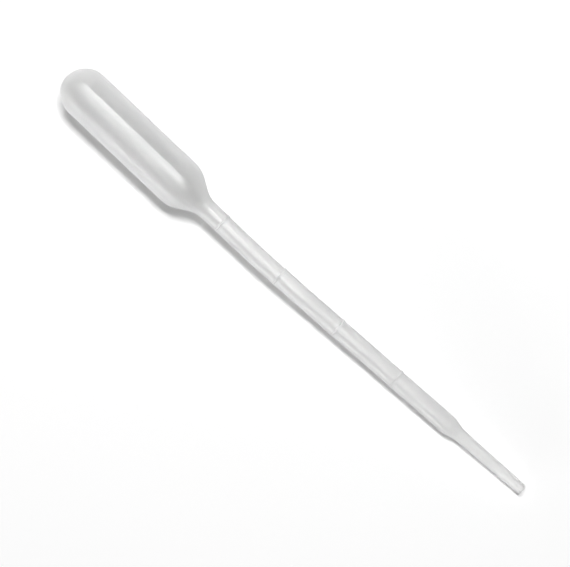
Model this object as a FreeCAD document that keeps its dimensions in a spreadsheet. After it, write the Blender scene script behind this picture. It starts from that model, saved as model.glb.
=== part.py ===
"""A graduated dropper pipette: one hollow shell of low-density polyethylene, blow moulded in one.

The squeeze bulb, its shoulder, the stem, the step and the drawn tip are one piece, open only at
the tip. The stem is slightly bowed, as such pipettes come out of the mould: a straight upper
stem, a short arc and a straight lower stem, all in the mould's parting plane.

The half-sections are drawn in the upright plane through the pipette's axis. Their X runs along
the axis, from the bulb's pole towards the tip, and their Y is the distance from the axis. Past
the bow that plane turns with the lower stem, and X starts again at the end of the bow.

The finished pipette lies as it comes to rest on a table at Z = 0: on the last ring of the bulb's
straight wall and on the rim of its tip, with the last ring of the stem just clear of the table.
Lengths are in millimetres and angles in degrees.
"""

import FreeCAD, Part  # isort: skip
import math
import os

import Sketcher
from FreeCAD import Placement, Rotation, Vector

NODE = "pipette"

# Name, value, meaning. The lengths add up to 155 mm from the bulb's pole to the end of the tip.
SIZES = (
    ("bulb_diameter", 12.8, "outside of the bulb's straight wall"),
    ("bulb_length", 40.4, "bulb's pole to the top of the shoulder"),
    ("bulb_wall", 0.4, "wall of the bulb"),
    ("dome_wall", 0.6, "wall at the bulb's pole, where the tube of melt was pinched shut"),
    ("shoulder_length", 6.4, "cone between bulb and stem"),
    ("shoulder_rounding", 8.0, "outside radius at the top of the shoulder"),
    ("foot_rounding", 6.0, "outside radius where the shoulder runs into the stem"),
    ("stem_top_diameter", 5.2, "outside of the stem below the shoulder"),
    ("stem_diameter", 5.0, "outside of the stem from the bow to the step"),
    ("stem_wall", 0.55, "wall of the stem"),
    ("upper_stem_length", 15.0, "shoulder to the start of the bow"),
    ("bow_length", 10.2, "the bow's arc, along the axis"),
    ("bow_angle", 2.4, "how far the bow turns the axis"),
    ("lower_stem_length", 58.4, "end of the bow to the step"),
    ("step_length", 3.0, "cone between stem and tip"),
    ("step_rounding", 1.5, "outside radius above the step"),
    ("neck_rounding", 2.5, "outside radius below the step"),
    ("tip_length", 21.6, "drawn tip, from the step to its end"),
    ("tip_root_diameter", 3.4, "outside of the tip below the step"),
    ("tip_end_diameter", 2.8, "outside of the tip at its end"),
    ("tip_wall", 0.55, "wall of the tip below the step"),
    ("tip_bore", 1.5, "bore at the end of the tip"),
    ("outlet_length", 6.0, "straight bore behind the end of the tip"),
    ("rim_rounding", 0.35, "outside radius of the tip's end"),
    ("first_mark", 6.6, "shoulder to the first graduation mark"),
    ("mark_spacing", 19.6, "one graduation, about a quarter of a millilitre in the stem's bore"),
    ("mark_width", 0.3, "flat top of a raised mark, whose sides slope at 45 degrees"),
    ("mark_height", 0.18, "how far a mark stands out of the stem"),
    ("mark_sweep", 160.0, "how far a mark runs round the upper half of the stem"),
    ("pinch_width", 0.3, "flat top of the ridge that the pinch-off leaves over the dome"),
    ("pinch_height", 0.12, "how far the ridge stands out of the dome"),
    ("pinch_sweep", 70.0, "how far the ridge runs over the dome, seen from the dome's centre"),
    ("cut_past", 1.0, "how far the bore is cut past the end of the tip"),
    ("rest_roll", 16.0, "how far the bowed stem's end has sunk round the bulb's axis, at rest"),
)
MARKS = 4
MARKS_ABOVE_BOW = 1

# Places as formulas of the sheet's sizes: along the upper axis, then along the lower one.
STEM_TOP = "(Sizes.bulb_length + Sizes.shoulder_length)"
BOW_START = f"({STEM_TOP} + Sizes.upper_stem_length)"
BOW_RADIUS = "(Sizes.bow_length * 180 / (pi * Sizes.bow_angle))"
STEP_END = "(Sizes.lower_stem_length + Sizes.step_length)"
TIP_END = f"({STEP_END} + Sizes.tip_length)"


def size_sheet(doc):
    """The spreadsheet that every sketch and feature is bound to."""
    sheet = doc.addObject("Spreadsheet::Sheet", "Sizes")
    for row, (name, value, meaning) in enumerate(SIZES, start=1):
        sheet.set(f"A{row}", name)
        sheet.set(f"B{row}", str(value))
        sheet.set(f"C{row}", meaning)
        sheet.setAlias(f"B{row}", name)
    doc.recompute()
    return sheet


def worth(sketch, formula):
    """What a formula of the sheet's sizes comes to."""
    return float(sketch.evalExpression(formula))


def relate(sketch, kind, *places):
    """Adds a constraint without a size."""
    sketch.addConstraint(Sketcher.Constraint(kind, *places))


def bind(sketch, kind, places, formula):
    """Adds a dimension and binds it to a formula of the sheet's sizes."""
    index = sketch.addConstraint(Sketcher.Constraint(kind, *places, worth(sketch, formula)))
    name = f"dimension_{index}"
    sketch.renameConstraint(index, name)
    sketch.setExpression(f"Constraints.{name}", formula)


def new_sketch(body, name, role="XZ_Plane"):
    """A sketch on one of the body's own origin planes, by default the upright one."""
    sketch = body.newObject("Sketcher::SketchObject", name)
    plane = next(f for f in body.Origin.OriginFeatures if f.Role == role)
    sketch.AttachmentSupport = [(plane, "")]
    sketch.MapMode = "FlatFace"
    return sketch


def lower_sketch(body, name):
    """An upright sketch turned with the lower stem, with X = 0 where the bow ends."""
    sketch = new_sketch(body, name)
    turned = "Sizes.bow_angle * 1 deg"
    ahead = f"{BOW_START} + {BOW_RADIUS} * sin({turned})"
    aside = f"{BOW_RADIUS} * (1 - cos({turned}))"
    sketch.AttachmentOffset = Placement(Vector(), Rotation(Vector(0, 1, 0), 1))
    sketch.setExpression("AttachmentOffset.Rotation.Angle", turned)
    sketch.setExpression("AttachmentOffset.Base.x", ahead)
    sketch.setExpression("AttachmentOffset.Base.z", f"-({aside})")
    return sketch


def add_pivot(sketch, place):
    """Adds an upright construction line, so far along X, for a feature to turn about."""
    foot = Vector(worth(sketch, place), 0, 0)
    line = sketch.addGeometry(Part.LineSegment(foot, foot + Vector(0, foot.x, 0)), True)
    relate(sketch, "PointOnObject", line, 1, -1)
    relate(sketch, "Vertical", line)
    bind(sketch, "DistanceX", (-1, 1, line, 1), place)
    bind(sketch, "DistanceY", (line, 1, line, 2), place)


def add_polygon(sketch, corners):
    """Adds a closed outline of straight sides. A corner is its X and its Y, each a formula."""
    points = [Vector(worth(sketch, x), worth(sketch, y), 0) for x, y in corners]
    following = [*points[1:], points[0]]
    sides = [
        sketch.addGeometry(Part.LineSegment(a, b)) for a, b in zip(points, following, strict=True)
    ]
    for side, after in zip(sides, [*sides[1:], sides[0]], strict=True):
        relate(sketch, "Coincident", side, 2, after, 1)
    for side, (x, y) in zip(sides, corners, strict=True):
        bind(sketch, "DistanceX", (-1, 1, side, 1), x)
        bind(sketch, "DistanceY", (-1, 1, side, 1), y)


def bow_sketch(body, name, diameter):
    """The stem's round section where the bow starts, with the line that the bow turns about."""
    sketch = new_sketch(body, name, "YZ_Plane")
    sketch.setExpression("AttachmentOffset.Base.z", BOW_START)
    circle = Part.Circle(Vector(), Vector(0, 0, 1), worth(sketch, diameter) / 2)
    section = sketch.addGeometry(circle)
    relate(sketch, "Coincident", section, 3, -1, 1)
    bind(sketch, "Diameter", (section,), diameter)
    add_pivot(sketch, BOW_RADIUS)
    return sketch


def half_section(sketch, corners, pole=None, start_radius=None):
    """Adds the closed area between the axis and an outline through the corners.

    A corner is its distance along the axis, its distance from the axis and its rounding, each a
    formula, with None for a sharp corner. The outline starts either at a dome's pole or, at
    X = 0, at the start radius.
    """
    points = [Vector(worth(sketch, x), worth(sketch, y), 0) for x, y, _ in corners]
    if pole:
        equator = worth(sketch, pole) + points[0].y
        points.insert(0, Vector(equator, points[0].y, 0))
    else:
        points.insert(0, Vector(0, worth(sketch, start_radius), 0))
    walls, end_wall, axis = close_on_axis(sketch, points)
    if pole:
        start_at_dome(sketch, walls[0], axis, pole)
    else:
        start_at_wall(sketch, walls[0], axis, start_radius)
    for wall, (x, y, _) in zip(walls, corners, strict=True):
        bind(sketch, "DistanceX", (-1, 1, wall, 2), x)
        bind(sketch, "DistanceY", (-1, 1, wall, 2), y)
    following = [*walls[1:], end_wall]
    for wall, after, (_, _, rounding) in zip(walls, following, corners, strict=True):
        if rounding:
            round_corner(sketch, wall, after, rounding)


def close_on_axis(sketch, points):
    """Adds the walls through the points, an end wall down to the axis and the line along it."""
    start, end = (Vector(point.x, 0, 0) for point in (points[0], points[-1]))
    corners = [*points, end, start]
    sides = zip(corners, corners[1:], strict=False)
    lines = [sketch.addGeometry(Part.LineSegment(a, b)) for a, b in sides]
    for line, after in zip(lines, lines[1:], strict=False):
        relate(sketch, "Coincident", line, 2, after, 1)
    *walls, end_wall, axis = lines
    relate(sketch, "Vertical", end_wall)
    relate(sketch, "PointOnObject", end_wall, 2, -1)
    relate(sketch, "PointOnObject", axis, 2, -1)
    return walls, end_wall, axis


def start_at_wall(sketch, wall, axis, radius):
    """Closes a half-section with a straight wall at X = 0."""
    corner = sketch.Geometry[wall].StartPoint
    first = sketch.addGeometry(Part.LineSegment(Vector(), corner))
    relate(sketch, "Coincident", axis, 2, first, 1)
    relate(sketch, "Coincident", first, 2, wall, 1)
    relate(sketch, "PointOnObject", axis, 2, -2)
    relate(sketch, "Vertical", first)
    bind(sketch, "DistanceY", (-1, 1, wall, 1), radius)


def start_at_dome(sketch, wall, axis, pole):
    """Closes a half-section with a hemisphere, from its pole to the first straight wall."""
    equator = sketch.Geometry[wall].StartPoint
    circle = Part.Circle(Vector(equator.x, 0, 0), Vector(0, 0, 1), equator.y)
    dome = sketch.addGeometry(Part.ArcOfCircle(circle, math.pi / 2, math.pi))
    relate(sketch, "Coincident", axis, 2, dome, 2)
    relate(sketch, "PointOnObject", dome, 3, -1)
    relate(sketch, "Tangent", dome, 1, wall, 1)
    relate(sketch, "Horizontal", wall)
    bind(sketch, "DistanceX", (-1, 1, dome, 2), pole)


def round_corner(sketch, wall, after, rounding):
    """Rounds the corner between two lines and binds the arc's radius."""
    lines = [sketch.Geometry[line] for line in (wall, after)]
    middles = [(line.StartPoint + line.EndPoint) / 2 for line in lines]
    arc = sketch.GeometryCount
    sketch.fillet(wall, after, *middles, worth(sketch, rounding), True, True)
    bind(sketch, "Radius", (arc,), rounding)


def turn(body, kind, name, sketch, axis="H_Axis", sweep="360", both_ways=False):
    """A Revolution or a Groove of a sketch through sweep degrees about one of its lines."""
    before = 0 if body.Shape.isNull() else body.Shape.Volume
    feature = body.newObject(f"PartDesign::{kind}", name)
    feature.Profile = sketch
    feature.ReferenceAxis = (sketch, [axis])
    feature.setExpression("Angle", sweep)
    feature.Midplane = both_ways
    body.Document.recompute()
    gained = body.Shape.Volume - before
    if (gained > 0) != (kind == "Revolution"):
        raise RuntimeError(f"{name} changed the volume by {gained:.3f} cubic millimetres")


def add_outside(body):
    """The solid outer form: bulb, shoulder and upper stem, then the bow, then stem and tip."""
    sketch = new_sketch(body, "bulb_outline")
    corners = [
        ("Sizes.bulb_length", "Sizes.bulb_diameter / 2", "Sizes.shoulder_rounding"),
        (STEM_TOP, "Sizes.stem_top_diameter / 2", "Sizes.foot_rounding"),
        (BOW_START, "Sizes.stem_diameter / 2", None),
    ]
    half_section(sketch, corners, pole="0")
    turn(body, "Revolution", "bulb_and_upper_stem", sketch)

    sketch = bow_sketch(body, "bow_outline", "Sizes.stem_diameter")
    turn(body, "Revolution", "bow", sketch, "Axis0", "Sizes.bow_angle")

    sketch = lower_sketch(body, "tip_outline")
    corners = [
        ("Sizes.lower_stem_length", "Sizes.stem_diameter / 2", "Sizes.step_rounding"),
        (STEP_END, "Sizes.tip_root_diameter / 2", "Sizes.neck_rounding"),
        (TIP_END, "Sizes.tip_end_diameter / 2", "Sizes.rim_rounding"),
    ]
    half_section(sketch, corners, start_radius="Sizes.stem_diameter / 2")
    turn(body, "Revolution", "lower_stem_and_tip", sketch)


def add_marks(body):
    """The graduation: raised marks round the upper half of the stem."""
    for number in range(MARKS):
        name = f"mark_{number + 1}"
        along = f"(Sizes.first_mark + {number} * Sizes.mark_spacing)"
        if number < MARKS_ABOVE_BOW:
            sketch = new_sketch(body, f"{name}_section")
            place = f"({STEM_TOP} + {along})"
            taper = "(Sizes.stem_top_diameter - Sizes.stem_diameter) / Sizes.upper_stem_length"
            surface = f"(Sizes.stem_top_diameter - {along} * {taper}) / 2"
        else:
            sketch = lower_sketch(body, f"{name}_section")
            place = f"({along} - Sizes.upper_stem_length - Sizes.bow_length)"
            surface = "Sizes.stem_diameter / 2"
        root = "Sizes.stem_wall / 2"
        top = "Sizes.mark_width / 2"
        foot = f"({top} + Sizes.mark_height + {root})"
        corners = [
            (f"{place} - {foot}", f"{surface} - {root}"),
            (f"{place} - {top}", f"{surface} + Sizes.mark_height"),
            (f"{place} + {top}", f"{surface} + Sizes.mark_height"),
            (f"{place} + {foot}", f"{surface} - {root}"),
        ]
        add_polygon(sketch, corners)
        turn(body, "Revolution", name, sketch, "H_Axis", "Sizes.mark_sweep", both_ways=True)


def add_pinch_ridge(body):
    """The low ridge over the dome, in the parting plane, where the mould pinched it shut."""
    sketch = new_sketch(body, "pinch_section")
    root = "Sizes.dome_wall / 2"
    top = "Sizes.pinch_width / 2"
    foot = f"({top} + Sizes.pinch_height + {root})"
    corners = [
        (root, f"-{foot}"),
        ("-Sizes.pinch_height", f"-{top}"),
        ("-Sizes.pinch_height", top),
        (root, foot),
    ]
    add_polygon(sketch, corners)
    add_pivot(sketch, "Sizes.bulb_diameter / 2")
    turn(body, "Revolution", "pinch_ridge", sketch, "Axis0", "Sizes.pinch_sweep", both_ways=True)


def cut_inside(body):
    """The air space, from the bulb's dome through the bowed stem and out of the tip."""
    sketch = new_sketch(body, "bulb_inside")
    bulb = "Sizes.bulb_diameter / 2 - Sizes.bulb_wall"
    stem_top = "Sizes.stem_top_diameter / 2 - Sizes.stem_wall"
    stem = "Sizes.stem_diameter / 2 - Sizes.stem_wall"
    tip_root = "Sizes.tip_root_diameter / 2 - Sizes.tip_wall"
    outlet = "Sizes.tip_bore / 2"
    corners = [
        ("Sizes.bulb_length", bulb, "Sizes.shoulder_rounding - Sizes.bulb_wall"),
        (STEM_TOP, stem_top, "Sizes.foot_rounding + Sizes.stem_wall"),
        (BOW_START, stem, None),
    ]
    half_section(sketch, corners, pole="Sizes.dome_wall")
    turn(body, "Groove", "bulb_and_upper_stem_bore", sketch)

    sketch = bow_sketch(body, "bow_inside", "Sizes.stem_diameter - 2 * Sizes.stem_wall")
    turn(body, "Groove", "bow_bore", sketch, "Axis0", "Sizes.bow_angle")

    sketch = lower_sketch(body, "tip_inside")
    corners = [
        ("Sizes.lower_stem_length", stem, "Sizes.step_rounding - Sizes.stem_wall"),
        (STEP_END, tip_root, "Sizes.neck_rounding + Sizes.tip_wall"),
        (f"{TIP_END} - Sizes.outlet_length", outlet, None),
        (f"{TIP_END} + Sizes.cut_past", outlet, None),
    ]
    half_section(sketch, corners, start_radius=stem)
    turn(body, "Groove", "lower_stem_and_tip_bore", sketch)


def lay_down(body, sheet):
    """Lays the pipette on the table, rolled by its size for that and then tilted until it touches.

    It touches at the last ring of the bulb's straight wall and at either the last ring of the stem
    or the rim of the tip, whichever meets the table first.
    """
    slope = math.atan2(sheet.bulb_diameter - sheet.stem_top_diameter, 2 * sheet.shoulder_length)
    bulb_end = sheet.bulb_length - sheet.shoulder_rounding * math.tan(slope / 2)
    slope = math.atan2(sheet.stem_diameter - sheet.tip_root_diameter, 2 * sheet.step_length)
    stem_end = sheet.lower_stem_length - sheet.step_rounding * math.tan(slope / 2)
    tip_end = sheet.lower_stem_length + sheet.step_length + sheet.tip_length - sheet.rim_rounding

    bow = math.radians(sheet.bow_angle)
    bow_radius = sheet.bow_length / bow
    bow_start = sheet.bulb_length + sheet.shoulder_length + sheet.upper_stem_length
    tilts = []
    for along, diameter in ((stem_end, sheet.stem_diameter), (tip_end, sheet.tip_end_diameter)):
        ahead = bow_start + bow_radius * math.sin(bow) + along * math.cos(bow) - bulb_end
        aside = bow_radius * (1 - math.cos(bow)) + along * math.sin(bow)
        sunk = aside * math.sin(math.radians(sheet.rest_roll))
        drop = (sheet.bulb_diameter - diameter) / 2
        tilts.append(math.asin(drop / math.hypot(ahead, sunk)) - math.atan2(sunk, ahead))

    roll = Rotation(Vector(1, 0, 0), -sheet.rest_roll)
    tilt = Rotation(Vector(0, 1, 0), math.degrees(min(tilts)))
    body.Placement = Placement(Vector(), tilt * roll)
    box = body.Shape.optimalBoundingBox(False, False)
    body.Placement.Base = Vector(-box.Center.x, -box.Center.y, -box.ZMin)


def check(doc, body):
    """Raises if anything in the document failed or the pipette isn't one sound solid."""
    failed = [o.Name for o in doc.Objects if {"Invalid", "Error"} & set(o.State)]
    if failed:
        raise RuntimeError(f"failed: {', '.join(failed)}")
    shape = body.Shape
    if shape.isNull() or not shape.isValid() or len(shape.Solids) != 1:
        raise RuntimeError(f"{body.Label} isn't one valid solid")


doc = FreeCAD.newDocument("dropper_pipette")
sizes = size_sheet(doc)
pipette = doc.addObject("PartDesign::Body", NODE)
pipette.Label = NODE
add_outside(pipette)
add_marks(pipette)
add_pinch_ridge(pipette)
cut_inside(pipette)
lay_down(pipette, sizes)
doc.recompute()
check(doc, pipette)

os.makedirs("parts", exist_ok=True)
pipette.Shape.exportStep(f"parts/{NODE}.step")
print(f"{NODE}: {pipette.Shape.Volume:.1f} cubic millimetres")
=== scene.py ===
"""The dropper pipette on a white table, seen from straight above under soft lamps.

The CAD solid keeps its form and its place. This script gives it the look of natural low-density
polyethylene, and adds the table, the lamps and the camera. Lengths are in metres.
"""
import math

import bpy
from mathutils import Matrix, Vector


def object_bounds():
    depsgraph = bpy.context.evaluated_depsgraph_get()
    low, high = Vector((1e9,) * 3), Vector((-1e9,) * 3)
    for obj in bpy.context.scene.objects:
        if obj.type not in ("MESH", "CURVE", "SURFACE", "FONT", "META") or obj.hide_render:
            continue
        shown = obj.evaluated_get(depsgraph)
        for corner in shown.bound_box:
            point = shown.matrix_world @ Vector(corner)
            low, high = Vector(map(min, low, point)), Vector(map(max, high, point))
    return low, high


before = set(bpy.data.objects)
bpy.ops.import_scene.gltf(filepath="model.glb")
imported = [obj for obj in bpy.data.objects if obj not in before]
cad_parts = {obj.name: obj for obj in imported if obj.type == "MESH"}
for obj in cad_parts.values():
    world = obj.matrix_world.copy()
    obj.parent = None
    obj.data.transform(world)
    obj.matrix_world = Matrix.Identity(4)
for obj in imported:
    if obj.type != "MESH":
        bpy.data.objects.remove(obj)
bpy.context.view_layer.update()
low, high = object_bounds()
centre = (low + high) / 2
scene = bpy.context.scene

# ---------------------------------------------------------------- the plastic's numbers
# Where its properties change, as shares of the pipette's length from the bulb's pole.
BULB_END, STEM_START = 0.22, 0.36
STEP_START, TIP_START = 0.84, 0.88

PLASTIC_IOR = 1.51
SCATTER_REACH = 0.0006
CLOUDED = (0.965, 0.967, 0.962, 1)
CLEAN = (0.995, 0.994, 0.99, 1)

# Grains to the metre along X, Y and Z.
FLOW_GRAINS = (30, 700, 700)
RIPPLE_GRAINS = (260, 380, 380)
SCUFF_GRAINS = (500, 1500, 2600)
CLOUD_GRAINS = (70, 120, 120)

# Of the bulb, then of the stem.
ROUGHNESS = (0.375, 0.385)
MILKINESS = (0.7, 0.5)
LIGHT_PASSED = (0.34, 0.48)

FLOW_ROUGHNESS = (-0.04, 0.06)
SCUFF_ROUGHNESS = 0.12
GREATEST_CLEARNESS = 0.9
MORE_LIGHT_PASSED_BY_TIP = 0.1
FLOW_RELIEF = {"Strength": 0.12, "Distance": 0.00006}
RIPPLE_RELIEF = {"Strength": 0.2, "Distance": 0.00012}

# ---------------------------------------------------------------- the table's and lamps' numbers
TABLE_SIDE = 3
WHITE = (1, 1, 1, 1)
LIT_WHITE = (0.86, 0.86, 0.86, 1)
TABLE_FADE = (0.12, 0.4)

SKY_SLOPE = (0, -0.6, 1)
SKY_FROM = (-0.2, 0.8)
SKY_LEVELS = (0.05, 0.16)

# Each lamp stands this far from the object's middle. Its row holds its lean from straight up
# towards +Y and sideways towards +X in degrees, its width along X, its length across that, its
# power in watts, and the kinds of ray that don't see it.
LAMP_DISTANCE = 1.0
LAMPS = (
    ("key", 16, -12, 0.5, 0.2, 9.4, ("glossy",)),
    ("strip", -7, 0, 0.9, 0.4, 4.4, ("diffuse", "transmission")),
    ("fill", -85, 0, 0.9, 0.16, 5.0, ("glossy",)),
)

# ---------------------------------------------------------------- the camera's numbers
TURN = math.radians(43.58)
LENS_MM = 150.0
SENSOR_MM = 36
FIELD = 0.143
MOVED_RIGHT, MOVED_UP = -0.00153, 0.00141


# ---------------------------------------------------------------- node helpers
def new_material(name):
    """An empty material with its output node."""
    material = bpy.data.materials.new(name)
    material.use_nodes = True
    tree = material.node_tree
    tree.nodes.clear()
    output = tree.nodes.new("ShaderNodeOutputMaterial")
    return material, tree, output


def add(tree, kind, **values):
    """Adds a node. A value named for a socket sets that socket, any other sets a property."""
    node = tree.nodes.new(kind)
    for key, value in values.items():
        if key in node.inputs:
            node.inputs[key].default_value = value
        else:
            setattr(node, key, value)
    return node


def link(tree, source, target):
    tree.links.new(source, target)


def stretched(tree, place, grains, **values):
    """Noise with the given count of grains to the metre along X, Y and Z."""
    grid = add(tree, "ShaderNodeVectorMath", operation="MULTIPLY")
    grid.inputs[1].default_value = grains
    link(tree, place.outputs["Object"], grid.inputs[0])
    noise = add(tree, "ShaderNodeTexNoise", Scale=1.0, **values)
    link(tree, grid.outputs[0], noise.inputs["Vector"])
    return noise.outputs["Fac"]


def ranged(tree, value, source, target, **values):
    """A value carried from one range to another, and held at the ends."""
    node = add(tree, "ShaderNodeMapRange", **values)
    node.inputs["From Min"].default_value, node.inputs["From Max"].default_value = source
    node.inputs["To Min"].default_value, node.inputs["To Max"].default_value = target
    link(tree, value, node.inputs["Value"])
    return node.outputs["Result"]


def maths(tree, operation, first, second):
    node = add(tree, "ShaderNodeMath", operation=operation)
    link(tree, first, node.inputs[0])
    link(tree, second, node.inputs[1])
    return node.outputs[0]


def blended(tree, amount, first, second):
    """A colour between two fixed ones."""
    node = add(tree, "ShaderNodeMix", data_type="RGBA")
    node.inputs[6].default_value = first
    node.inputs[7].default_value = second
    link(tree, amount, node.inputs[0])
    return node.outputs[2]


def either(tree, amount, first, second):
    """A surface that is the first shader, or by the given amount the second."""
    node = add(tree, "ShaderNodeMixShader")
    link(tree, amount, node.inputs[0])
    link(tree, first.outputs[0], node.inputs[1])
    link(tree, second.outputs[0], node.inputs[2])
    return node.outputs[0]


# ---------------------------------------------------------------- material
def polyethylene():
    """Natural low-density polyethylene: milky, waxy, with faint flow marks and scuffs."""
    material, tree, output = new_material("polyethylene")
    shader = add(tree, "ShaderNodeBsdfPrincipled", **{
        "IOR": PLASTIC_IOR,
        "Subsurface Weight": 1.0,
        "Subsurface Radius": (1, 1, 1),
        "Subsurface Scale": SCATTER_REACH,
        "Subsurface Anisotropy": 0.0,
    })
    place = add(tree, "ShaderNodeTexCoord")
    axes = add(tree, "ShaderNodeSeparateXYZ")
    link(tree, place.outputs["Generated"], axes.inputs[0])
    along = axes.outputs["X"]

    # flow lines drawn along the tube as it was blown, and the ripple left by the mould
    flow = stretched(tree, place, FLOW_GRAINS, Detail=2.0, Roughness=0.5)
    ripple = stretched(tree, place, RIPPLE_GRAINS, Detail=2.0)
    scuff = stretched(tree, place, SCUFF_GRAINS, Detail=4.0, Distortion=1.2)
    cloud = stretched(tree, place, CLOUD_GRAINS, Detail=3.0)

    # colour: the wall's milkiness clouds a little
    tint = blended(tree, ranged(tree, cloud, (0.35, 0.65), (0.0, 1.0)), CLOUDED, CLEAN)
    link(tree, tint, shader.inputs["Base Color"])

    # gloss: the bulb is a little smoother than the stem, and scuffs are dull
    drawn = ranged(tree, along, (BULB_END, STEM_START), ROUGHNESS)
    grain = ranged(tree, flow, (0.3, 0.7), FLOW_ROUGHNESS)
    dull = ranged(tree, scuff, (0.62, 0.72), (0.0, SCUFF_ROUGHNESS))
    gloss = maths(tree, "ADD", maths(tree, "ADD", drawn, grain), dull)
    link(tree, gloss, shader.inputs["Roughness"])

    # relief: the ripple lies over the flow lines
    lines = add(tree, "ShaderNodeBump", **FLOW_RELIEF)
    link(tree, flow, lines.inputs["Height"])
    peel = add(tree, "ShaderNodeBump", **RIPPLE_RELIEF)
    link(tree, ripple, peel.inputs["Height"])
    link(tree, lines.outputs["Normal"], peel.inputs["Normal"])
    link(tree, peel.outputs["Normal"], shader.inputs["Normal"])

    # clear where the wall is met squarely, milky where it is met along its length
    facing = add(tree, "ShaderNodeLayerWeight", Blend=0.5).outputs["Facing"]
    grazed = ranged(tree, facing, (0.1, 0.8), (0.0, 1.0))
    haze = ranged(tree, along, (BULB_END, STEM_START), MILKINESS)
    milky = maths(tree, "MULTIPLY", grazed, haze)
    clearness = ranged(tree, milky, (0.0, GREATEST_CLEARNESS), (GREATEST_CLEARNESS, 0.0))
    link(tree, clearness, shader.inputs["Transmission Weight"])

    # part of the lamps' light passes the wall and lights the inside, most of all at the tip
    path = add(tree, "ShaderNodeLightPath")
    squarely = ranged(tree, facing, (0.0, 0.6), (1.0, 0.0))
    wall = ranged(tree, along, (BULB_END, STEM_START), LIGHT_PASSED)
    tip = ranged(tree, along, (STEP_START, TIP_START), (0.0, MORE_LIGHT_PASSED_BY_TIP))
    thin = maths(tree, "MULTIPLY", squarely, maths(tree, "ADD", wall, tip))
    through = maths(tree, "MULTIPLY", thin, path.outputs["Is Shadow Ray"])
    clear = add(tree, "ShaderNodeBsdfTransparent")
    link(tree, either(tree, through, shader, clear), output.inputs["Surface"])
    return material


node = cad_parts["pipette"]
node.data.materials.clear()
node.data.materials.append(polyethylene())


# ---------------------------------------------------------------- table
def table():
    """A white table. It carries the shadow, and runs into the white background further off."""
    bpy.ops.mesh.primitive_plane_add(size=TABLE_SIDE, location=(0, 0, 0))
    floor = bpy.context.object
    floor.name = "table"
    material, tree, output = new_material("table")

    # it looks white, and lights the object from below as a real white table would
    path = add(tree, "ShaderNodeLightPath")
    seen = maths(tree, "MAXIMUM", path.outputs["Is Camera Ray"], path.outputs["Is Glossy Ray"])
    shown = maths(tree, "MAXIMUM", seen, path.outputs["Is Transmission Ray"])
    near = add(tree, "ShaderNodeBsdfDiffuse")
    link(tree, blended(tree, shown, LIT_WHITE, WHITE), near.inputs["Color"])

    # further off it is as white as the background
    white = add(tree, "ShaderNodeEmission", Strength=1.0, Color=WHITE)
    place = add(tree, "ShaderNodeTexCoord")
    distance = add(tree, "ShaderNodeVectorMath", operation="LENGTH")
    link(tree, place.outputs["Object"], distance.inputs[0])
    far = ranged(tree, distance.outputs["Value"], TABLE_FADE, (0.0, 1.0))
    faded = maths(tree, "MULTIPLY", far, path.outputs["Is Camera Ray"])
    link(tree, either(tree, faded, near, white), output.inputs["Surface"])
    floor.data.materials.append(material)


table()


# ---------------------------------------------------------------- light
def studio():
    """A dim room, a little lighter overhead and towards -Y. The camera sees it as plain white."""
    world = bpy.data.worlds.new("studio")
    scene.world = world
    world.use_nodes = True
    tree = world.node_tree
    background = tree.nodes["Background"]
    background.inputs["Strength"].default_value = 1.0
    sky = add(tree, "ShaderNodeTexCoord")
    height = add(tree, "ShaderNodeVectorMath", operation="DOT_PRODUCT")
    height.inputs[1].default_value = SKY_SLOPE
    link(tree, sky.outputs["Generated"], height.inputs[0])
    room = ranged(tree, height.outputs["Value"], SKY_FROM, SKY_LEVELS,
                  interpolation_type="SMOOTHSTEP")
    path = add(tree, "ShaderNodeLightPath")
    air = maths(tree, "MAXIMUM", path.outputs["Is Camera Ray"], room)
    link(tree, air, background.inputs["Color"])


def leaning(degrees, sideways):
    """A direction that leans from straight up towards +Y, and sideways towards +X."""
    lean = math.radians(degrees)
    return Vector((math.tan(math.radians(sideways)), math.sin(lean), math.cos(lean)))


def softbox(name, direction, width, length, power):
    """A rectangular lamp that looks at the object from a direction, its width lying along X."""
    data = bpy.data.lights.new(name, "AREA")
    data.shape = "RECTANGLE"
    data.size = width
    data.size_y = length
    data.energy = power
    lamp = bpy.data.objects.new(name, data)
    scene.collection.objects.link(lamp)
    towards = direction.normalized()
    across = (Vector((1, 0, 0)) - towards * towards.x).normalized()
    along = towards.cross(across)
    turned = Matrix((across, along, towards)).transposed().to_4x4()
    lamp.matrix_world = Matrix.Translation(centre + towards * LAMP_DISTANCE) @ turned
    lamp.visible_camera = False
    return lamp


studio()
for name, lean, sideways, width, length, power, blind_rays in LAMPS:
    lamp = softbox(name, leaning(lean, sideways), width, length, power)
    for kind in blind_rays:
        setattr(lamp, f"visible_{kind}", False)


# ---------------------------------------------------------------- camera
def camera_above():
    """A camera that looks straight down, turned so that the pipette lies as in the photograph."""
    data = bpy.data.cameras.new("camera")
    data.lens = LENS_MM
    data.sensor_width = SENSOR_MM
    camera = bpy.data.objects.new("camera", data)
    scene.collection.objects.link(camera)
    right = Vector((math.cos(TURN), math.sin(TURN), 0))
    up = Vector((-math.sin(TURN), math.cos(TURN), 0))
    height = FIELD * LENS_MM / SENSOR_MM
    place = centre + right * MOVED_RIGHT + up * MOVED_UP + Vector((0, 0, height))
    turned = Matrix((right, up, Vector((0, 0, 1)))).transposed().to_4x4()
    camera.matrix_world = Matrix.Translation(place) @ turned
    scene.camera = camera


camera_above()
scene.view_settings.view_transform = "Standard"
